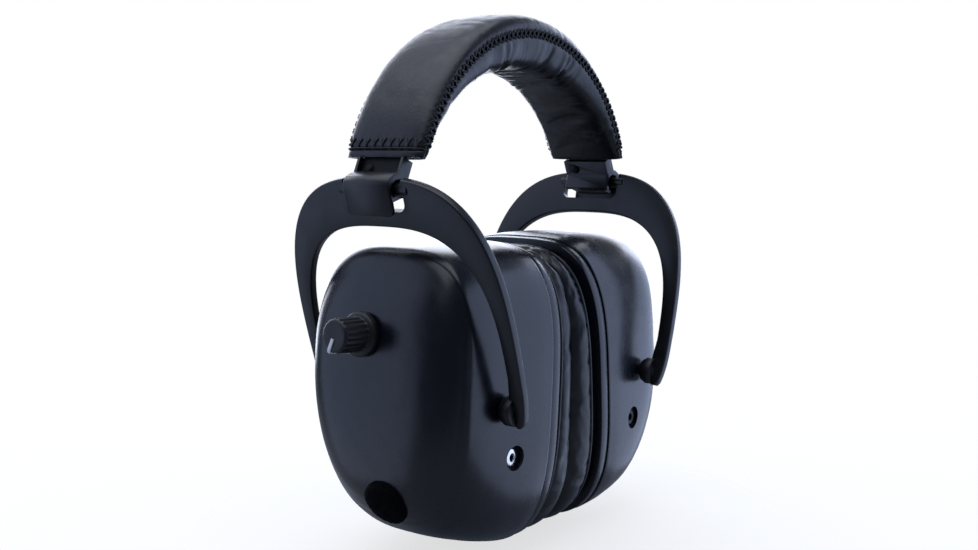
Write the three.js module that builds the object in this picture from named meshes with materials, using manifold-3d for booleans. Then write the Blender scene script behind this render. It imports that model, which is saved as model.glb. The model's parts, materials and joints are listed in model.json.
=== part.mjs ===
// Over-ear hearing protector with electronic cups, built as separate pieces.
// Millimetres. +X is the wearer's right, +Y is forward and +Z is up.
// The origin is the middle of the headband pad's underside, where it rests on the head.
// The right side is built first, and the left side is its mirror image.
import * as THREE from 'three';
import { mergeVertices } from 'three/addons/utils/BufferGeometryUtils.js';
import Module from 'manifold-3d';

const wasm = await Module();
wasm.setup();

// ---------------------------------------------------------------- driving dimensions
const GAP = 0.3;                  // air left between pieces that touch

// Headband: three arcs in the XZ plane, each with its centre on the Z axis.
const COVER_ARC = { radius: 62.9, centre: -44.2 };   // outer leather
const SPRING_ARC = { radius: 62.5, centre: -50.7 };  // steel spring
const PAD_ARC = { radius: 66.8, centre: -66.8 };     // underside of the head pad
const SPRING_THICK = 1.2;
const SPRING_HALF_WIDTH = 9.5;
const BAND_HALF_WIDTH = 16.6;
const FLEX_ANGLE = 35;            // where the band flexes, in degrees from the crown
const SPRING_END_ANGLE = 48;
const BAND_END_ANGLE = 78;
const SPREAD_MAX = 36;            // how far each arm of the band can flex open

// Slider strap and its guide, in a frame that leans with the band's end.
const EXIT = { x: 58.6, z: -28.8, lean: 23.5 };      // where the strap leaves the band
const STRAP_HALF_WIDTH = 8.5;
const STRAP_THICK = 1.2;
const STRAP_INSIDE = 20;
const STRAP_OUTSIDE = 10;
const GUIDE = { from: -2.6, to: 5.4, halfWidth: 10.8, halfThick: 1.7 };

// Yoke: a flat horseshoe that leans outward, in a frame with its origin on the cup pivot.
const PIVOT = { x: 44.2, z: -111.3 };
const YOKE_LEAN = 16.3;
const YOKE_THICK = 3.2;
const YOKE_OUTER = { halfWidth: 46.2, height: 61, base: 16 };
const YOKE_INNER = { halfWidth: 41, height: 48.6, base: 12 };
const YOKE_ROUNDNESS = 2.9;
const BAR_HEIGHT = 73;            // hinge bar above the pivot axis
const BAR_RADIUS = 2.1;
const WINDOW = { halfWidth: 12.5, low: 66 };
const BOSS_RADIUS = 4.8;

// Clip that wraps the hinge bar.
const CLIP_HALF_WIDTH = 9.8;
const CLIP_WALL = 1.5;
const CLIP_NECK = { top: -4.9, low: -10.4 };

// Cup: d runs outward from the seam, y forward, v up.
const CUP = { x: 18.45, z: -114, tilt: 3.89 };
const SHELL_WALL = 2.4;
const CUP_STATIONS = [            // outline of the shell at each depth; nRear is below and behind
  { d: 0, half: 37.4, top: 54, low: -52, nTop: 3.4, nLow: 2.9, nRear: 3.1, mid: 0 },
  { d: 8, half: 37.2, top: 54, low: -50.2, nTop: 3.4, nLow: 2.9, nRear: 3.6, mid: 1 },
  { d: 20, half: 36.2, top: 53.2, low: -47.4, nTop: 3.4, nLow: 2.75, nRear: 4, mid: 4 },
  { d: 31, half: 35.2, top: 52, low: -44.4, nTop: 3.3, nLow: 2.5, nRear: 3.5, mid: 7 },
  { d: 39, half: 33.6, top: 49.6, low: -39.8, nTop: 3.2, nLow: 2.3, nRear: 3.1, mid: 10 },
  { d: 45, half: 30.4, top: 45.5, low: -33.6, nTop: 2.9, nLow: 2.15, nRear: 3, mid: 13 },
  { d: 48.5, half: 25, top: 39.5, low: -25.4, nTop: 2.6, nLow: 2, nRear: 2.8, mid: 13 },
  { d: 49.8, half: 17, top: 31, low: -12, nTop: 2.3, nLow: 2, nRear: 2.3, mid: 13 },
];
const RING_POINTS = 28;
const PLATE = { near: -0.3, far: -4.8, inset: 0.5, holeHalf: 23, holeTop: 37, holeLow: -35 };
const CUSHION_PLATE = { near: -5.1, far: -7.6, inset: 3.6, holeHalf: 22.5, holeTop: 36.5, holeLow: -34.5 };
const CUSHION = { near: -7.9, inset: 3, holeHalf: 18.5, holeTop: 32, holeLow: -30 };
const CUSHION_CLEAR = 1.8;        // from the middle plane to a cushion's face

const KNOB = { y: 3.9, v: 22.6, skirtRadius: 7.4, capRadius: 5.5, skirt: 2.7, height: 13, base: 50.2 };
const KNOB_OFF_ANGLE = 28;       // pointer's angle from straight down with the volume off
// The microphone's axis leans down from outward, square to the shell's lower slope.
const MIC = { d: 45.6, y: -5.3, v: -31.8, lean: 35, radius: 8.1, capsule: 4.8 };
const JACK = { d: 18.2, v: -15.9, ring: 3, recess: 4.2 };

// ---------------------------------------------------------------- colours
const finish = (color, roughness, metalness) =>
  new THREE.MeshStandardMaterial({ color, roughness, metalness });
const SHELL_PLASTIC = finish(0x14161b, 0.36, 0);
const YOKE_PLASTIC = finish(0x15171c, 0.42, 0);
const LEATHER = finish(0x121319, 0.48, 0);
const BLACK_RUBBER = finish(0x0c0c0e, 0.7, 0);
const FOAM = finish(0x0a0a0b, 0.95, 0);
const STEEL = finish(0x6a6d72, 0.35, 1);
const CHROME = finish(0xd8dade, 0.15, 1);
const WHITE = finish(0xe9ebee, 0.5, 0);
const GREEN_BOARD = finish(0x16402a, 0.5, 0);
const CELL = finish(0x8f8a78, 0.35, 0.6);

// ---------------------------------------------------------------- solids
const rad = THREE.MathUtils.degToRad;

function solid(geometry) {
  const bare = geometry.clone();
  bare.deleteAttribute('normal');
  bare.deleteAttribute('uv');
  const merged = mergeVertices(bare, 1e-4);
  return new wasm.Manifold(new wasm.Mesh({
    numProp: 3,
    vertProperties: new Float32Array(merged.attributes.position.array),
    triVerts: new Uint32Array(merged.index.array),
  }));
}

function toGeometry(manifold) {
  const mesh = manifold.getMesh();
  const geometry = new THREE.BufferGeometry();
  geometry.setAttribute('position', new THREE.BufferAttribute(new Float32Array(mesh.vertProperties), 3));
  geometry.setIndex(new THREE.BufferAttribute(new Uint32Array(mesh.triVerts), 1));
  return geometry;
}

const cut = (geometry, ...tools) =>
  toGeometry(tools.reduce((body, tool) => body.subtract(solid(tool)), solid(geometry)));
const join = (geometry, ...others) =>
  toGeometry(others.reduce((body, other) => body.add(solid(other)), solid(geometry)));
const keep = (geometry, tool) => toGeometry(solid(geometry).intersect(solid(tool)));

// A closed skin through rings with equally many points, capped at both ends.
function loft(rings) {
  const count = rings[0].length;
  const points = [];
  const index = [];
  rings.forEach((ring) => ring.forEach((p) => points.push(p.x, p.y, p.z)));
  for (let r = 0; r < rings.length - 1; r += 1) {
    for (let k = 0; k < count; k += 1) {
      const a = r * count + k;
      const b = r * count + ((k + 1) % count);
      index.push(a, b, b + count, a, b + count, a + count);
    }
  }
  const cap = (ring, first, flip) => {
    const centre = ring.reduce((sum, p) => sum.add(p), new THREE.Vector3()).divideScalar(count);
    const middle = points.length / 3;
    points.push(centre.x, centre.y, centre.z);
    for (let k = 0; k < count; k += 1) {
      const a = first + k;
      const b = first + ((k + 1) % count);
      index.push(...(flip ? [middle, a, b] : [middle, b, a]));
    }
  };
  cap(rings[0], 0, false);
  cap(rings[rings.length - 1], (rings.length - 1) * count, true);
  const geometry = new THREE.BufferGeometry();
  geometry.setAttribute('position', new THREE.Float32BufferAttribute(points, 3));
  geometry.setIndex(index);
  return solid(geometry).volume() < 0 ? flipped(geometry) : geometry;
}

// A closed ring-shaped skin: the last ring joins the first.
function ringLoft(rings) {
  const count = rings[0].length;
  const points = rings.flatMap((ring) => ring.flatMap((p) => [p.x, p.y, p.z]));
  const index = [];
  for (let r = 0; r < rings.length; r += 1) {
    const next = (r + 1) % rings.length;
    for (let k = 0; k < count; k += 1) {
      const k2 = (k + 1) % count;
      const [a, b] = [r * count + k, r * count + k2];
      const [c, d] = [next * count + k2, next * count + k];
      index.push(a, b, c, a, c, d);
    }
  }
  const geometry = new THREE.BufferGeometry();
  geometry.setAttribute('position', new THREE.Float32BufferAttribute(points, 3));
  geometry.setIndex(index);
  return solid(geometry).volume() < 0 ? flipped(geometry) : geometry;
}

function flipped(geometry) {
  const turned = geometry.clone();
  const index = Array.from(turned.index.array);
  for (let k = 0; k < index.length; k += 3) [index[k], index[k + 1]] = [index[k + 1], index[k]];
  turned.setIndex(index);
  return turned;
}

function mirrored(geometry) {
  const copy = geometry.index ? geometry.clone() : mergeVertices(geometry.clone());
  copy.deleteAttribute('normal');
  copy.deleteAttribute('uv');
  copy.applyMatrix4(new THREE.Matrix4().makeScale(-1, 1, 1));
  return flipped(copy);
}

const box = (x0, x1, y0, y1, z0, z1) =>
  new THREE.BoxGeometry(x1 - x0, y1 - y0, z1 - z0).translate((x0 + x1) / 2, (y0 + y1) / 2, (z0 + z1) / 2);

// Turned piece: profile pairs [radius, height] from one end of the axis to the other.
function turned(profile, segments = 16) {
  const outline = profile.map(([r, h]) => new THREE.Vector2(r, h));
  return new THREE.LatheGeometry(outline, segments);
}
const rod = (radius, from, to, segments) =>
  turned([[0, from], [radius, from], [radius, to], [0, to]], segments);

function extruded(outline, depth, bevel = 0) {
  return new THREE.ExtrudeGeometry(new THREE.Shape(outline), {
    depth: depth - 2 * bevel,
    bevelEnabled: bevel > 0,
    bevelThickness: bevel,
    bevelSize: bevel,
    bevelOffset: -bevel,
    bevelSegments: 1,
  }).translate(0, 0, bevel);
}

// An outline in XZ extruded symmetrically along Y.
function acrossY(points, halfWidth) {
  const shape = points.map(([x, z]) => new THREE.Vector2(x, z));
  return extruded(shape, 2 * halfWidth).translate(0, 0, -halfWidth).rotateX(Math.PI / 2);
}

// ---------------------------------------------------------------- frames of the right side
const frameMatrix = (right, forward, up, origin) =>
  new THREE.Matrix4().makeBasis(right, forward, up).setPosition(origin);
const Y_AXIS = new THREE.Vector3(0, 1, 0);

function tiltedFrame(lean, x, z) {
  const up = new THREE.Vector3(Math.sin(rad(lean)), 0, Math.cos(rad(lean)));
  const right = new THREE.Vector3(Math.cos(rad(lean)), 0, -Math.sin(rad(lean)));
  return frameMatrix(right, Y_AXIS, up, new THREE.Vector3(x, 0, z));
}
const CUP_FRAME = tiltedFrame(-CUP.tilt, CUP.x, CUP.z);
const YOKE_FRAME = tiltedFrame(YOKE_LEAN, PIVOT.x, PIVOT.z);
// In the strap's frame, x is outward, and z runs up into the band.
const STRAP_FRAME = tiltedFrame(-EXIT.lean, EXIT.x, EXIT.z);

const inCup = (geometry) => geometry.applyMatrix4(CUP_FRAME);
const inYoke = (geometry) => geometry.applyMatrix4(YOKE_FRAME);
const inStrap = (geometry) => geometry.applyMatrix4(STRAP_FRAME);

// ---------------------------------------------------------------- headband
// Distance from the outer leather's centre to another arc, along a ray at angle phi from up.
function reach(arc, phi) {
  const shift = arc.centre - COVER_ARC.centre;
  return shift * Math.cos(phi) + Math.sqrt(arc.radius ** 2 - (shift * Math.sin(phi)) ** 2);
}
function bandPoint(radius, phi, y) {
  return new THREE.Vector3(radius * Math.sin(phi), y, COVER_ARC.centre + radius * Math.cos(phi));
}

// One length of a band layer between two arcs. slant leans an end face away from its neighbour.
function bandLayer(section, innerArc, outerArc, from, to, rings, slantFrom = 0, slantTo = 0) {
  const skin = [];
  for (let k = 0; k <= rings; k += 1) {
    const t = k / rings;
    skin.push(section.map(([y, depth]) => {
      const phi = rad(from + t * (to - from));
      const start = reach(innerArc.arc, phi) + innerArc.offset;
      const radius = start + depth * (reach(outerArc.arc, phi) + outerArc.offset - start);
      const height = Math.abs(radius - reach(SPRING_ARC, phi));
      const slant = THREE.MathUtils.lerp(slantFrom, slantTo, t) * height / radius;
      return bandPoint(radius, phi + slant, y);
    }));
  }
  return loft(skin);
}

const half = SPRING_THICK / 2;
const flexGap = 0.45 / SPRING_ARC.radius * 180 / Math.PI;
const wedge = Math.tan(rad(SPREAD_MAX / 2 + 2));
// Half a section from the seam to the middle: place across and share of the layer's height.
const COVER_HALF = [[0.2, 0], [0, 0.3], [1.6, 0.75], [4.4, 1]];
const PAD_HALF = [[0.3, 0], [0, 0.35], [2, 0.8], [5.2, 1]];
const layerSection = (profile) => {
  const front = profile.map(([inset, share]) => [BAND_HALF_WIDTH - inset, share]);
  return [...front, [0, 1], ...front.map(([y, share]) => [-y, share]).reverse(), [0, 0]];
};
const COVER_SECTION = layerSection(COVER_HALF);
const PAD_SECTION = layerSection(PAD_HALF);
const SPRING_SECTION = [
  [SPRING_HALF_WIDTH, 0], [SPRING_HALF_WIDTH, 1], [-SPRING_HALF_WIDTH, 1], [-SPRING_HALF_WIDTH, 0],
];
const springFace = (offset) => ({ arc: SPRING_ARC, offset });
const coverFace = { arc: COVER_ARC, offset: 0 };
const padFace = { arc: PAD_ARC, offset: 0 };

function springLength(from, to, rings) {
  return bandLayer(SPRING_SECTION, springFace(-half), springFace(half), from, to, rings);
}
function coverLength(from, to, rings, slantFrom, slantTo) {
  return bandLayer(COVER_SECTION, springFace(half + GAP), coverFace, from, to, rings, slantFrom, slantTo);
}
function padLength(from, to, rings) {
  return bandLayer(PAD_SECTION, springFace(-half - GAP), padFace, from, to, rings);
}

// Room inside the leather for the strap and its guide.
const strapRoom = () => inStrap(box(-1.3, 1.3, -9.2, 9.2, -12, STRAP_INSIDE + 1.5));
const guideRoom = () => {
  const { halfThick: x, halfWidth: y } = GUIDE;
  return inStrap(box(-x - GAP, x + GAP, -y - GAP, y + GAP, -12, GUIDE.to + GAP));
};

function springArm() {
  return springLength(FLEX_ANGLE + flexGap, SPRING_END_ANGLE, 3);
}
function coverArm() {
  const arm = coverLength(FLEX_ANGLE + flexGap, BAND_END_ANGLE, 8, wedge, 0);
  return cut(arm, strapRoom(), guideRoom());
}
function padArm() {
  return cut(padLength(FLEX_ANGLE + flexGap, BAND_END_ANGLE, 8), strapRoom(), guideRoom());
}

function sliderGuide() {
  const { halfThick: x, halfWidth: y, from, to } = GUIDE;
  return inStrap(cut(box(-x, x, -y, y, from, to), box(-0.9, 0.9, -8.8, 8.8, from - 1, to + 1)));
}

// ---------------------------------------------------------------- strap, clip and rivet
const RIVET = { y: 5, z: -6.9, radius: 1.1 };
const rivetRoom = (radius, from, to) =>
  inStrap(rod(radius, from, to, 14).rotateZ(-Math.PI / 2).translate(0, RIVET.y, RIVET.z));
const rivetHole = () => rivetRoom(RIVET.radius + GAP, -6, 1);

function sliderStrap() {
  const strip = box(
    -STRAP_THICK / 2, STRAP_THICK / 2, -STRAP_HALF_WIDTH, STRAP_HALF_WIDTH, -STRAP_OUTSIDE, STRAP_INSIDE,
  );
  return cut(inStrap(strip), rivetHole());
}

function clipRivet() {
  const back = -0.9 - CLIP_WALL;
  const profile = [
    [0, back - 0.9], [1.2, back - 0.7], [1.7, back - GAP], [RIVET.radius, back - GAP],
    [RIVET.radius, 0.9], [1.7, 0.9], [1.2, 1.4], [0, 1.6],
  ];
  return inStrap(turned(profile, 14).rotateZ(-Math.PI / 2).translate(0, RIVET.y, RIVET.z));
}

function clip() {
  const w = CLIP_HALF_WIDTH;
  const back = -0.9 - CLIP_WALL;
  // Neck: a channel open to the outside, which holds the strap's end.
  const { top, low } = CLIP_NECK;
  const backWall = box(back, -0.9, -w, w, low, top);
  const sideWalls = [1, -1].map((s) => box(back, 2.4, ...[s * 8.8, s * w].sort((a, b) => a - b), low, top));
  // Hook: an outline in the yoke's frame, x outward and z up.
  const hook = acrossY([
    [-5.2, 75.2], [-4.4, 77.6], [0.5, 78.2], [2.9, 77.6], [4.2, 76.2], [4.7, 74.4], [4.7, 66.2],
    [4.3, 65.2], [3.3, 65.2], [3.15, 66.2], [2.75, 73.6], [1.9, 75.2], [0, 76], [-2.6, 75.2],
  ], w);
  const lining = acrossY([
    [-5.2, 77], [-5.2, 69.4], [-4.8, 69], [-2.6, 69], [-2.6, 70.3], [-3.5, 71.2], [-3.5, 77],
  ], w);
  const bridge = box(-3, 4, -7.5, 7.5, 69, 70.4);
  const corner = 3.5;
  const foot = 65.2 + corner;
  const face = new THREE.Shape();
  face.moveTo(-w, 90);
  face.lineTo(-w, foot);
  face.absarc(-w + corner, foot, corner, Math.PI, 1.5 * Math.PI);
  face.absarc(w - corner, foot, corner, 1.5 * Math.PI, 2 * Math.PI);
  face.lineTo(w, 90);
  const toFrame = frameMatrix(
    Y_AXIS, new THREE.Vector3(0, 0, 1), new THREE.Vector3(1, 0, 0), new THREE.Vector3(-2, 0, 0),
  );
  const tongueOutline = new THREE.ExtrudeGeometry(face, { depth: 15, bevelEnabled: false, curveSegments: 4 })
    .applyMatrix4(toFrame);
  const backOutline = box(-15, -1.9, -w, w, 60, 90);
  const rounded = inYoke(keep(join(hook, lining, bridge), join(tongueOutline, backOutline)));
  const strapSlot = inStrap(box(-0.9, 0.9, -8.8, 8.8, -STRAP_OUTSIDE - GAP, 2));
  const neck = [backWall, ...sideWalls].map(inStrap);
  return cut(join(rounded, ...neck), strapSlot, rivetHole(), rivetRoom(2.1, 0.8, 4));
}

// ---------------------------------------------------------------- yoke and pivot pins
function halfArch({ halfWidth, height, base }, steps) {
  const points = [];
  for (let k = 0; k <= steps; k += 1) {
    const a = Math.PI * k / steps;
    const [c, s] = [Math.cos(a), Math.sin(a)];
    const r = (Math.abs(c) ** YOKE_ROUNDNESS + Math.abs(s) ** YOKE_ROUNDNESS) ** (-1 / YOKE_ROUNDNESS);
    points.push(new THREE.Vector2(halfWidth * r * c, base + height * r * s));
  }
  return points;
}

function yoke() {
  const tip = [[45.9, 6], [45.4, 1], [44.6, -3.2], [42.9, -5.4], [41, -5.2], [39.8, -3], [39.4, 1]];
  const right = tip.map(([y, s]) => new THREE.Vector2(y, s));
  const left = tip.map(([y, s]) => new THREE.Vector2(-y, s));
  // Counter-clockwise: over the outer arch, round one tip, back under the inner arch.
  const outline = [
    ...halfArch(YOKE_OUTER, 22), ...left, ...halfArch(YOKE_INNER, 18).reverse(), ...right.reverse(),
  ];
  const toFrame = frameMatrix(
    Y_AXIS, new THREE.Vector3(0, 0, 1), new THREE.Vector3(1, 0, 0), new THREE.Vector3(),
  );
  const plate = extruded(outline, YOKE_THICK, 0.5).translate(0, 0, -YOKE_THICK / 2).applyMatrix4(toFrame);
  const notch = box(-9, 9, -WINDOW.halfWidth, WINDOW.halfWidth, WINDOW.low, 90);
  const bar = rod(BAR_RADIUS, -WINDOW.halfWidth - 2, WINDOW.halfWidth + 2, 12).translate(0, 0, BAR_HEIGHT);
  const bosses = [1, -1].map((side) => {
    const profile = [
      [0, 36.9], [4.2, 36.9], [4.4, 37.9], [BOSS_RADIUS, 38.1], [BOSS_RADIUS, 41.6], [0, 41.6],
    ];
    return side > 0 ? turned(profile) : turned(profile).rotateX(Math.PI);
  });
  const holes = [1, -1].map((side) => {
    const hole = rod(2.3, 30, 41, 12);
    return side > 0 ? hole : hole.rotateX(Math.PI);
  });
  return inYoke(cut(join(cut(plate, notch), bar, ...bosses), ...holes));
}

function pivotPin(side) {
  const profile = [[0, 30.4], [3.4, 30.4], [3.4, 31.6], [2, 31.6], [2, 40.7], [0, 40.7]];
  const pin = side > 0 ? turned(profile, 12) : turned(profile, 12).rotateX(Math.PI);
  return pin.translate(PIVOT.x, 0, PIVOT.z);
}

// ---------------------------------------------------------------- cup
function cupRing(station, inset = 0, depth = station.d) {
  const ring = [];
  for (let k = 0; k < RING_POINTS; k += 1) {
    const a = 2 * Math.PI * k / RING_POINTS;
    const [c, s] = [Math.cos(a), Math.sin(a)];
    const lower = c < 0 ? station.nRear : station.nLow;
    const n = s >= 0 ? station.nTop : lower;
    const height = (s >= 0 ? station.top - station.mid : station.mid - station.low) - inset;
    const r = (Math.abs(c) ** n + Math.abs(s) ** n) ** (-1 / n);
    ring.push(new THREE.Vector3(depth, (station.half - inset) * r * c, station.mid + height * r * s));
  }
  return ring;
}

// A stadium-like ear opening, as a ring of the same number of points.
function earRing(hole, depth) {
  const oval = { nTop: 2.4, nLow: 2.4, nRear: 2.4, mid: 1 };
  return cupRing({ ...oval, half: hole.holeHalf, top: hole.holeTop, low: hole.holeLow }, 0, depth);
}

const seamStation = CUP_STATIONS[0];
const pivotInCup = new THREE.Vector3(PIVOT.x, 0, PIVOT.z).applyMatrix4(CUP_FRAME.clone().invert());
const alongX = (geometry) => geometry.rotateZ(-Math.PI / 2);
const atMic = (geometry) => alongX(geometry).rotateY(rad(MIC.lean)).translate(MIC.d, MIC.y, MIC.v);

function cupShell() {
  const outer = CUP_STATIONS.map((s) => cupRing(s));
  const lining = [0, 2, 4, 6].map((k) => CUP_STATIONS[k]);
  const inner = lining.map((s, k) => cupRing(s, SHELL_WALL, k ? s.d - 1.5 : s.d)).reverse();
  const body = loft([...inner, ...outer]);
  const pins = rod(2.3, -60, 60, 12).translate(pivotInCup.x, 0, pivotInCup.z);
  const potHole = alongX(rod(3.9, 30, 60, 16)).translate(0, KNOB.y, KNOB.v);
  const micHole = atMic(rod(MIC.capsule + GAP, -16, 10, 18));
  const jackHole = rod(JACK.ring + GAP, -60, -10, 18).translate(JACK.d, 0, JACK.v);
  const jackRecess = rod(JACK.recess, -60, -34.6, 20).translate(JACK.d, 0, JACK.v);
  return inCup(cut(body, pins, potHole, micHole, jackHole, jackRecess));
}

// A flat ring: outer outline from the seam, with an ear opening through it.
function ringPlate(plate) {
  return ringLoft([
    cupRing(seamStation, plate.inset, plate.near), cupRing(seamStation, plate.inset, plate.far),
    earRing(plate, plate.far), earRing(plate, plate.near),
  ]);
}
const SCREWS = [{ y: -23, v: 38 }, { y: 23, v: -34 }];
const screwHole = ({ y, v }) => alongX(rod(1.6, -10, 5, 12)).translate(0, y, v);
const screwHead = ({ y, v }) => alongX(rod(2.9, -8, -3.4, 14)).translate(0, y, v);

function backPlate() {
  return inCup(cut(ringPlate(PLATE), ...SCREWS.map(screwHole), ...SCREWS.map(screwHead)));
}
function cushionPlate() {
  const headRoom = SCREWS.map((s) => alongX(rod(3.1, -9, -4, 14)).translate(0, s.y, s.v));
  return inCup(cut(ringPlate(CUSHION_PLATE), ...headRoom));
}
function plateScrew(place) {
  const profile = [[0, -4.7], [2.6, -4.7], [2.6, -3.7], [1.3, -3.7], [1.3, 2.5], [0, 3]];
  return inCup(alongX(turned(profile, 14)).translate(0, place.y, place.v));
}

// The ear cushion is squeezed to a wedge: its face is upright while its plate follows the cup.
function cushion() {
  const toRow = CUP_FRAME;
  const back = cupRing(seamStation, CUSHION.inset, CUSHION.near).map((p) => p.applyMatrix4(toRow));
  const bulge = cupRing(seamStation, CUSHION.inset - 1.6, -13).map((p) => p.applyMatrix4(toRow));
  const face = cupRing(seamStation, CUSHION.inset + 2.6, -16).map((p) => p.applyMatrix4(toRow));
  const holeFace = earRing(CUSHION, -16).map((p) => p.applyMatrix4(toRow));
  const holeBack = earRing(CUSHION, CUSHION.near).map((p) => p.applyMatrix4(toRow));
  const wide = cupRing(seamStation, CUSHION.inset - 0.6, CUSHION.near).map((p) => p.applyMatrix4(toRow));
  [face, holeFace].forEach((ring) => ring.forEach((p) => p.setX(CUSHION_CLEAR)));
  bulge.forEach((p, k) => p.setX((wide[k].x + CUSHION_CLEAR) / 2));
  return ringLoft([back, bulge, face, holeFace, holeBack]);
}

function foamLiner() {
  const station = { ...seamStation, half: 29, top: 43, low: -40 };
  return inCup(loft([cupRing(station, 0, 0.4), cupRing(station, 0, 8)]));
}
function speaker() {
  const profile = [[0, 8.4], [18, 8.4], [18, 10.4], [12, 13.5], [8, 13.5], [8, 17], [0, 17]];
  return inCup(alongX(turned(profile, 24)).translate(0, 0, 4));
}
function circuitBoard() {
  return inCup(box(24, 25.6, -22, 22, -14, 38));
}
function batteryTray() {
  const tray = box(27.2, 34, -26, 26, -11.5, 3.5);
  const room = box(28.4, 35, -24.4, 24.4, -10, 2);
  return inCup(cut(tray, room));
}
function battery() {
  const profile = [[0, -22.4], [4.9, -22.4], [4.9, 21.6], [1.9, 21.6], [1.9, 22.6], [0, 22.6]];
  return inCup(turned(profile).translate(33.6, 0, -4));
}
function volumePot() {
  const profile = [
    [0, 35], [6.5, 35], [6.5, 42.6], [3.4, 42.6], [3.4, 50.8], [2, 50.8], [2, 58.5], [0, 58.5],
  ];
  return inCup(alongX(turned(profile, 18)).translate(0, KNOB.y, KNOB.v));
}

// Seen from outside, each knob's pointer rests towards seven o'clock: rearward on the right cup
// and forward on the left one. turn is counted about the outward axis from a rearward pointer.
const KNOB_TURN = { right: 90 - KNOB_OFF_ANGLE, left: 90 + KNOB_OFF_ANGLE };
const placeKnob = (geometry, side) =>
  inCup(alongX(geometry).rotateX(rad(KNOB_TURN[side])).translate(KNOB.base, KNOB.y, KNOB.v));

// The knob: a round skirt and a fluted cap, bored for the pot's shaft.
function volumeKnob(side) {
  const { skirtRadius: skirt, capRadius: cap } = KNOB;
  const skirtBody = turned([
    [0, 0], [skirt, 0], [skirt, KNOB.skirt - 0.8], [skirt - 0.8, KNOB.skirt], [0, KNOB.skirt],
  ], 20);
  const flutes = 18;
  const outline = [];
  for (let k = 0; k < flutes; k += 1) {
    const a = 2 * Math.PI * k / flutes;
    const r = cap + (k % 2 ? 0.25 : -0.2);
    outline.push(new THREE.Vector2(r * Math.cos(a), r * Math.sin(a)));
  }
  const fluted = extruded(outline, KNOB.height - KNOB.skirt + 0.5).rotateX(-Math.PI / 2)
    .translate(0, KNOB.skirt - 0.5, 0);
  const bore = rod(2.3, -1, 8.8, 16);
  const bushRoom = rod(3.8, -1, 1.2, 16);
  const pointerRoom = knobPointerBar(GAP);
  return placeKnob(cut(join(skirtBody, fluted), bore, bushRoom, pointerRoom), side);
}
// White line over the cap's end and down its side, in the knob's own frame (axis +Y).
function knobPointerBar(extra) {
  const w = 0.55 + extra;
  const top = box(1.2 - extra, 6.5, KNOB.height - 0.5 - extra, KNOB.height + 0.1 + extra, -w, w);
  const low = KNOB.skirt + 0.6 - extra;
  const side = box(KNOB.capRadius - 0.6 - extra, 6.5, low, KNOB.height + 0.1 + extra, -w, w);
  const limit = rod(KNOB.capRadius + 0.35 + extra, 0, KNOB.height + 1, 20);
  return keep(join(top, side), limit);
}
function knobPointer(side) {
  return placeKnob(knobPointerBar(0), side);
}

function micCapsule() {
  return inCup(atMic(rod(MIC.capsule, -10, -1.4, 18)));
}
function micWindscreen() {
  const dome = [[0, -3], [MIC.radius - 1, -3], [MIC.radius, -2], [MIC.radius, 0.4]];
  for (let k = 1; k <= 3; k += 1) {
    const a = Math.PI / 6 * k;
    dome.push([MIC.radius * Math.cos(a), 0.4 + 2.3 * Math.sin(a)]);
  }
  dome[dome.length - 1][0] = 0;
  return cut(inCup(atMic(turned(dome, 20))), shellSkin(GAP));
}
// The shell's outside as a solid, slightly larger by extra.
function shellSkin(extra) {
  const rings = CUP_STATIONS.map((s) => cupRing(s, -extra));
  const last = CUP_STATIONS[CUP_STATIONS.length - 1];
  return inCup(loft([...rings, cupRing(last, 0, last.d + extra)]));
}

function audioJack() {
  const body = box(JACK.d - 4, JACK.d + 4, -29.4, -21, JACK.v - 4, JACK.v + 4);
  const bore = rod(1.75, -40, -22, 14).translate(JACK.d, 0, JACK.v);
  return inCup(cut(body, bore));
}
function jackRing() {
  const profile = [
    [1.75, -34.9], [2.6, -34.9], [JACK.ring, -34.5], [JACK.ring, -30], [1.75, -30], [1.75, -34.9],
  ];
  return inCup(turned(profile).translate(JACK.d, 0, JACK.v));
}

// ---------------------------------------------------------------- assembly
const earmuff = new THREE.Group();

function add(parent, name, geometry, material) {
  const mesh = new THREE.Mesh(geometry, material);
  mesh.name = name;
  parent.add(mesh);
}

// make is a finished right-hand piece, or a function of the side for a piece that isn't mirrored.
// material is one material, or one for each side.
function addPair(name, make, material) {
  const piece = typeof make === 'function' ? make : () => make;
  add(rightSide, `right_${name}`, piece('right'), material.right ?? material);
  add(leftSide, `left_${name}`, mirrored(piece('left')), material.left ?? material);
}

const crown = FLEX_ANGLE - flexGap;
add(earmuff, 'headband_spring_crown', springLength(-crown, crown, 10), STEEL);
add(earmuff, 'headband_cover_crown', coverLength(-crown, crown, 14, wedge, -wedge), LEATHER);
add(earmuff, 'headband_pad_crown', padLength(-crown, crown, 14), LEATHER);

const rightSide = new THREE.Group();
const leftSide = new THREE.Group();
earmuff.add(rightSide, leftSide);

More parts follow.
